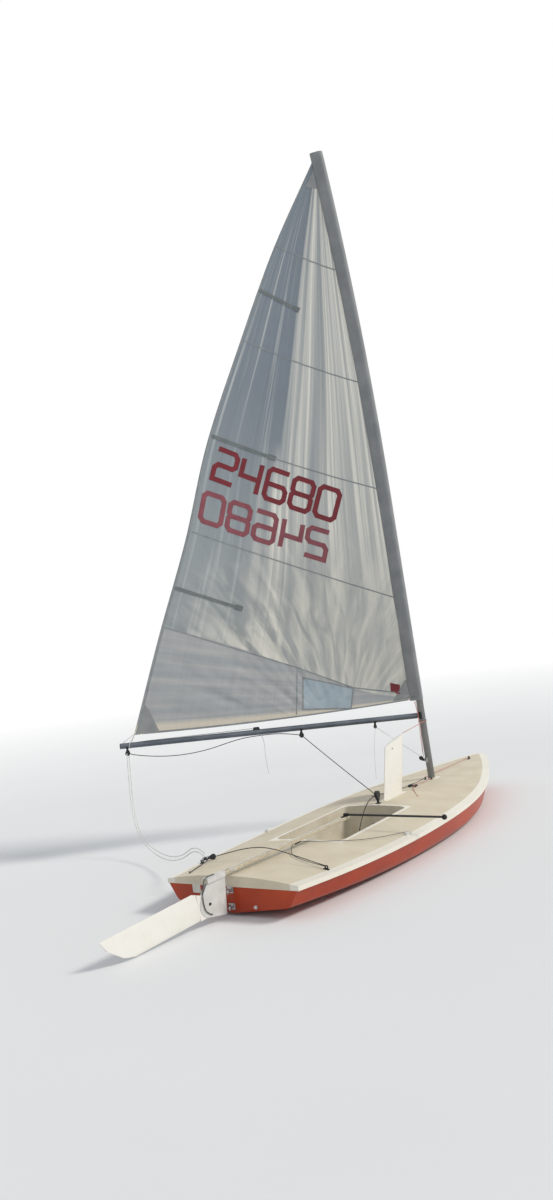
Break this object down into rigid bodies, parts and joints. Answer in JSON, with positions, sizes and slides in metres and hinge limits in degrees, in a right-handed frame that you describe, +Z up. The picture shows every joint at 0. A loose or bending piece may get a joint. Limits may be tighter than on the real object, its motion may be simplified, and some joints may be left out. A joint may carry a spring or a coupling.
{
  "type": "sailing dinghy",
  "caption": "Small sailing dinghy with an unstayed mast, a boom swung out to port, a sleeved sail, an open cockpit, a raised daggerboard and a lifting rudder with tiller.",
  "frame": {"origin": "on the hull's centreplane at the waterline, half the hull's length forward of the transom", "axes": "+X towards the bow, +Y to port, +Z up, with the hull floating level"},
  "size_m": [5.2699, 3.0931, 6.395],
  "materials": {
    "hull_gelcoat": "glossy orange-red gelcoat",
    "deck_gelcoat": "satin cream gelcoat with a non-slip pattern",
    "spar": "clear anodised",
    "sailcloth": "white translucent polyester cloth",
    "black_plastic": "moulded black",
    "black_rubber": "matte black",
    "steel": "brushed stainless",
    "cast_alloy": "cast, clear anodised",
    "tiller_wood": "varnished pale wood",
    "foil_gelcoat": "off-white gelcoat",
    "webbing": "black polyester webbing"
  },
  "bodies": {
    "hull": {"hull_moulding": "hull_gelcoat", "deck_moulding": "deck_gelcoat", "cockpit_well": "deck_gelcoat", "daggerboard_trunk": "deck_gelcoat", "mast_step": "deck_gelcoat", "rudder_gudgeons": "steel", "drain_bung": "black_plastic", "self_bailer": "steel", "traveller_eyes": "black_plastic", "traveller_blocks": "black_plastic", "traveller_cleat": "black_plastic", "bow_eye": "black_plastic", "side_cleats": "black_plastic", "mainsheet_block": "black_plastic", "hiking_strap": "webbing", "deck_cleats": "black_plastic", "mast_foot_eyes": "black_plastic"},
    "rig": {"mast_lower": "spar", "mast_heel": "black_plastic", "mast_upper": "spar", "mast_collars": "black_plastic", "masthead_cap": "black_plastic", "gooseneck": "black_plastic", "boom": "spar", "boom_caps": "black_plastic", "boom_saddles": "black_plastic", "mid_boom_block": "black_plastic", "end_boom_block": "black_plastic", "vang_upper_block": "black_plastic", "vang_tang": "steel", "vang_lower_block": "black_plastic", "outhaul_cleat": "black_plastic", "sail": "sailcloth"},
    "rudder": {"rudder_head": "cast_alloy", "rudder_pintles": "steel", "blade_bolt": "steel", "tiller": "tiller_wood", "extension_joint": "black_rubber", "tiller_extension": "black_plastic", "extension_grip": "black_rubber"},
    "rudder_blade": {"rudder_blade": "foil_gelcoat"},
    "daggerboard": {"daggerboard": "foil_gelcoat"}
  },
  "joints": [
    {"name": "mast_turn", "type": "hinge", "parent": "hull", "child": "rig", "pos_m": [0.965, 0, 0.29364], "axis": [-0.0593, 0, 0.9982], "range_deg": [-43.5, 146.5]},
    {"name": "rudder_turn", "type": "hinge", "parent": "hull", "child": "rudder", "pos_m": [-2.145, 0, 0.115], "axis": [0, 0, 1], "range_deg": [-37, 53]},
    {"name": "blade_lift", "type": "hinge", "parent": "rudder", "child": "rudder_blade", "pos_m": [-2.31632, 0.02408, 0.138], "axis": [-0.1392, -0.9903, 0], "range_deg": [-15, 85]},
    {"name": "daggerboard_slide", "type": "slide", "parent": "hull", "child": "daggerboard", "axis": [-0.3007, 0, -0.9537], "range_m": [-0.18, 0.43]}
  ]
}
